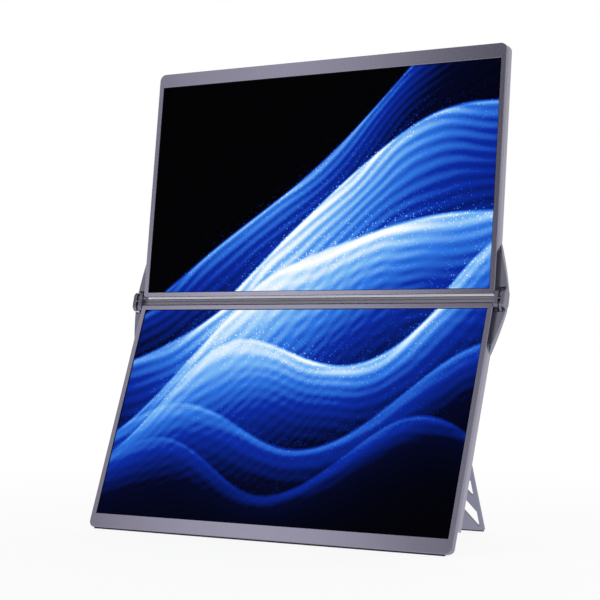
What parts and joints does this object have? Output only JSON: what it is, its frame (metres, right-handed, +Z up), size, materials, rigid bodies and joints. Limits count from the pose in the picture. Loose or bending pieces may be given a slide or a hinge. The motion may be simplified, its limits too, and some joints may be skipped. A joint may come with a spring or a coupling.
{
  "type": "dual portable monitor",
  "caption": "Two portable screens stacked on a two-axis hinge spine that folds them face to face, propped up by a slotted kickstand behind the lower one.",
  "frame": {"origin": "middle of the flat face of the rubber strip under the lower monitor's bottom edge, on the table", "axes": "+X to the viewer's right along the hinge, +Y to the back, +Z up"},
  "size_m": [0.374, 0.1578, 0.4129],
  "materials": {
    "frame_aluminium": "anodised satin, violet grey",
    "cover_aluminium": "anodised satin, violet grey",
    "arm_aluminium": "cast, painted violet grey",
    "kickstand_aluminium": "anodised satin, blue grey",
    "spine_aluminium": "extruded, anodised grey",
    "cap_aluminium": "anodised satin, violet grey",
    "button_aluminium": "anodised satin",
    "knuckle_zinc": "cast, dark grey paint",
    "screen_glass": "glossy, lit from behind",
    "backlight_white": "white film",
    "board_green": "solder mask",
    "chip_black": "matt black",
    "ribbon_film": "amber film",
    "port_steel": "stamped steel",
    "screw_steel": "blackened steel",
    "hinge_steel": "ground steel",
    "washer_bronze": "bronze",
    "foot_rubber": "matt rubber"
  },
  "bodies": {
    "lower_monitor": {"lower_front_frame": "frame_aluminium", "lower_lcd_panel": "screen_glass", "lower_backlight_unit": "backlight_white", "lower_rear_cover": "cover_aluminium", "lower_driver_board": "board_green", "lower_board_chips": "chip_black", "lower_panel_ribbon": "ribbon_film", "lower_usb_c_ports": "port_steel", "lower_hdmi_port": "port_steel", "lower_tact_switches": "chip_black", "lower_speakers": "chip_black", "lower_hinge_arm_right": "arm_aluminium", "lower_hinge_arm_left": "arm_aluminium", "lower_arm_screws": "screw_steel", "lower_foot_strip": "foot_rubber", "kickstand_bracket_right": "hinge_steel", "kickstand_bracket_left": "hinge_steel", "kickstand_pins": "hinge_steel", "kickstand_bracket_screws": "screw_steel"},
    "spine": {"spine_bar": "spine_aluminium", "knuckle_right": "knuckle_zinc", "knuckle_left": "knuckle_zinc", "knuckle_cap_right": "cap_aluminium", "knuckle_cap_left": "cap_aluminium", "hinge_pins": "hinge_steel", "friction_washers": "washer_bronze"},
    "upper_monitor": {"upper_front_frame": "frame_aluminium", "upper_lcd_panel": "screen_glass", "upper_backlight_unit": "backlight_white", "upper_rear_cover": "cover_aluminium", "upper_driver_board": "board_green", "upper_board_chips": "chip_black", "upper_panel_ribbon": "ribbon_film", "upper_usb_c_ports": "port_steel", "upper_hdmi_port": "port_steel", "upper_tact_switches": "chip_black", "upper_speakers": "chip_black", "upper_hinge_arm_right": "arm_aluminium", "upper_hinge_arm_left": "arm_aluminium", "upper_arm_screws": "screw_steel"},
    "kickstand": {"kickstand_plate": "kickstand_aluminium", "kickstand_foot": "foot_rubber"},
    "lower_power_button": {"lower_power_button": "button_aluminium"},
    "lower_plus_button": {"lower_plus_button": "button_aluminium"},
    "lower_minus_button": {"lower_minus_button": "button_aluminium"},
    "upper_power_button": {"upper_power_button": "button_aluminium"},
    "upper_plus_button": {"upper_plus_button": "button_aluminium"},
    "upper_minus_button": {"upper_minus_button": "button_aluminium"}
  },
  "joints": [
    {"name": "spine_fold", "type": "hinge", "parent": "lower_monitor", "child": "spine", "pos_m": [0, 0.08066, 0.1959], "axis": [1, 0, 0], "range_deg": [-7.4, 82.6]},
    {"name": "upper_fold", "type": "hinge", "parent": "spine", "child": "upper_monitor", "pos_m": [0, 0.08257, 0.20325], "axis": [1, 0, 0], "range_deg": [-7.4, 82.6]},
    {"name": "kickstand_swing", "type": "hinge", "parent": "lower_monitor", "child": "kickstand", "pos_m": [0, 0.07862, 0.17084], "axis": [1, 0, 0], "range_deg": [-46.2, 34]},
    {"name": "lower_power_press", "type": "slide", "parent": "lower_monitor", "child": "lower_power_button", "axis": [1, 0, 0], "range_m": [0, 0.0004], "stiffness_N_per_m": 2500},
    {"name": "lower_plus_press", "type": "slide", "parent": "lower_monitor", "child": "lower_plus_button", "axis": [1, 0, 0], "range_m": [0, 0.0004], "stiffness_N_per_m": 2500},
    {"name": "lower_minus_press", "type": "slide", "parent": "lower_monitor", "child": "lower_minus_button", "axis": [1, 0, 0], "range_m": [0, 0.0004], "stiffness_N_per_m": 2500},
    {"name": "upper_power_press", "type": "slide", "parent": "upper_monitor", "child": "upper_power_button", "axis": [1, 0, 0], "range_m": [0, 0.0004], "stiffness_N_per_m": 2500},
    {"name": "upper_plus_press", "type": "slide", "parent": "upper_monitor", "child": "upper_plus_button", "axis": [1, 0, 0], "range_m": [0, 0.0004], "stiffness_N_per_m": 2500},
    {"name": "upper_minus_press", "type": "slide", "parent": "upper_monitor", "child": "upper_minus_button", "axis": [1, 0, 0], "range_m": [0, 0.0004], "stiffness_N_per_m": 2500}
  ]
}
